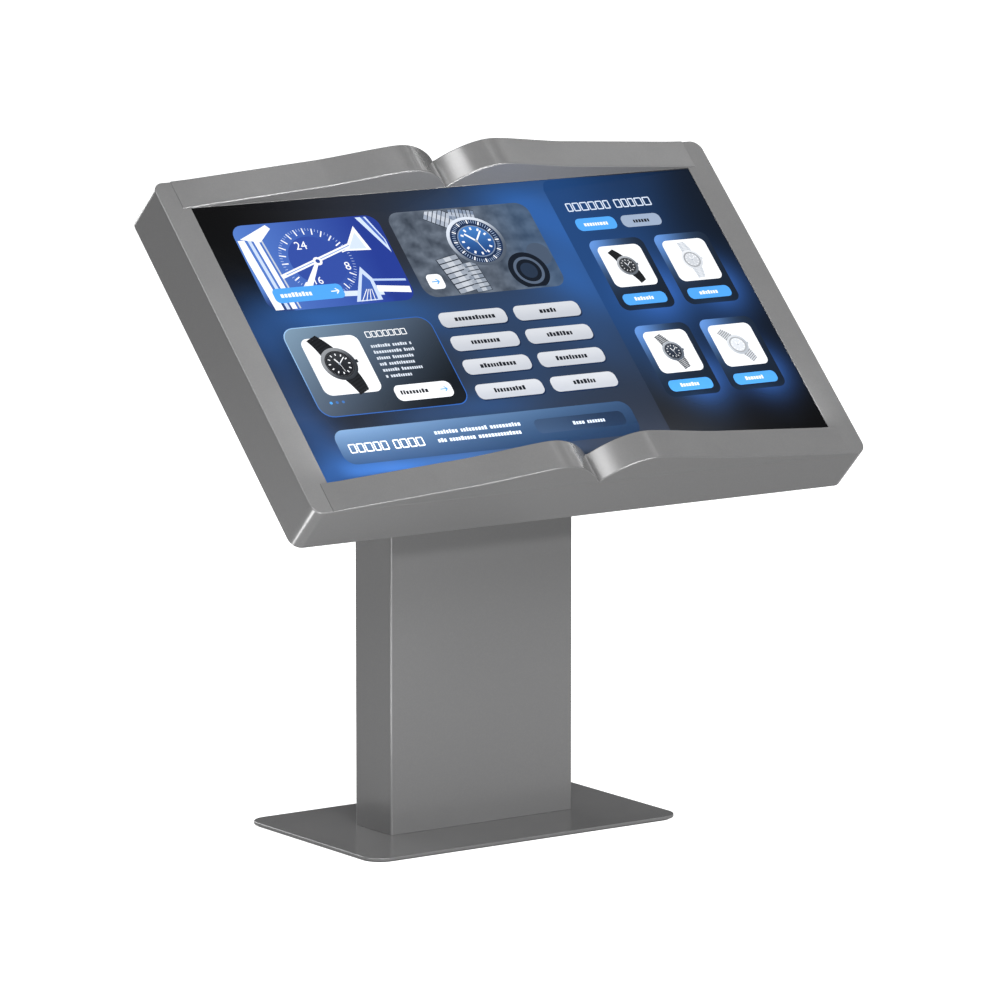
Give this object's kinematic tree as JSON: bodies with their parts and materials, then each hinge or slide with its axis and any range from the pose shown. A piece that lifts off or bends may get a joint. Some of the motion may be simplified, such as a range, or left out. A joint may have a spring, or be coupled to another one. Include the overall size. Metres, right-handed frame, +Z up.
{
  "type": "touchscreen kiosk",
  "caption": "Free-standing touchscreen kiosk: a tilted display in a grey steel casing shaped like an open book, on a flat pillar with a base plate and a rear service door.",
  "frame": {"origin": "on the floor, at the centre of the underside of the base mat", "axes": "+Z up, +X to the right of a user who faces the screen, the screen faces -Y and up"},
  "size_m": [1.0368, 0.5796, 1.0756],
  "materials": {
    "powder_coat": "satin metallic grey powder coat",
    "zinc_steel": "zinc plated",
    "chrome": "polished",
    "black_plastic": "fine moulded texture",
    "rubber": "matt black",
    "glass": "clear toughened touch glass",
    "display": "lit display showing a plain menu of picture tiles",
    "display_tray": "pale tray of the display module, mostly hollow, so not metal here",
    "aluminium": "anodised",
    "circuit_board": "solder mask"
  },
  "bodies": {
    "cabinet": {"back_cover": "powder_coat", "backlight_tray": "display_tray", "base_mat": "rubber", "base_plate": "powder_coat", "cover_screw_1": "zinc_steel", "cover_screw_2": "zinc_steel", "cover_screw_3": "zinc_steel", "cover_screw_4": "zinc_steel", "cover_screw_5": "zinc_steel", "cover_screw_6": "zinc_steel", "display_cell": "display", "driver_board": "circuit_board", "equipment_plate": "zinc_steel", "fan_frame_left": "black_plastic", "fan_frame_right": "black_plastic", "foot_bolt_1": "zinc_steel", "foot_bolt_2": "zinc_steel", "foot_bolt_3": "zinc_steel", "foot_bolt_4": "zinc_steel", "foot_flange": "zinc_steel", "front_shell": "powder_coat", "glass_gasket": "rubber", "head_bolt_1": "zinc_steel", "head_bolt_2": "zinc_steel", "head_bolt_3": "zinc_steel", "head_bolt_4": "zinc_steel", "head_bracket": "zinc_steel", "head_rail_left": "zinc_steel", "head_rail_right": "zinc_steel", "lower_hinge_frame_leaf": "zinc_steel", "lower_hinge_pin": "zinc_steel", "mains_inlet": "black_plastic", "mains_lead": "rubber", "mini_pc": "aluminium", "page_bottom_left": "powder_coat", "page_bottom_right": "powder_coat", "page_top_left": "powder_coat", "page_top_right": "powder_coat", "panel_power_lead": "rubber", "pillar_shell": "powder_coat", "power_button_housing": "chrome", "power_supply": "aluminium", "rear_sill": "powder_coat", "rear_upper_panel": "powder_coat", "touch_controller": "circuit_board", "touch_glass": "glass", "upper_hinge_frame_leaf": "zinc_steel", "upper_hinge_pin": "zinc_steel", "video_lead": "rubber"},
    "service_door": {"service_door": "powder_coat", "lower_hinge_door_leaf": "zinc_steel", "upper_hinge_door_leaf": "zinc_steel", "lock_body": "chrome"},
    "lock_cam": {"lock_cam": "chrome"},
    "mains_switch": {"mains_switch": "black_plastic"},
    "power_button": {"power_button": "chrome"},
    "fan_rotor_left": {"fan_rotor_left": "black_plastic"},
    "fan_rotor_right": {"fan_rotor_right": "black_plastic"}
  },
  "joints": [
    {"name": "door_hinge", "type": "hinge", "parent": "cabinet", "child": "service_door", "pos_m": [-0.1438, 0.0566, 0.42], "axis": [0, 0, 1], "range_deg": [0, 110]},
    {"name": "lock_turn", "type": "hinge", "parent": "service_door", "child": "lock_cam", "pos_m": [0.1198, 0.05015, 0.42], "axis": [0, -1, 0], "range_deg": [0, 90]},
    {"name": "switch_rock", "type": "hinge", "parent": "cabinet", "child": "mains_switch", "pos_m": [-0.06, 0.0475, 0.095], "axis": [1, 0, 0], "range_deg": [0, 16]},
    {"name": "button_press", "type": "slide", "parent": "cabinet", "child": "power_button", "axis": [0, -1, 0], "range_m": [0, 0.0025], "stiffness_N_per_m": 300},
    {"name": "left_fan_spin", "type": "hinge", "parent": "cabinet", "child": "fan_rotor_left", "pos_m": [-0.3, 0.05822, 0.91336], "axis": [0, -0.7071, 0.7071], "continuous": true},
    {"name": "right_fan_spin", "type": "hinge", "parent": "cabinet", "child": "fan_rotor_right", "pos_m": [0.3, 0.05822, 0.91336], "axis": [0, -0.7071, 0.7071], "continuous": true}
  ]
}
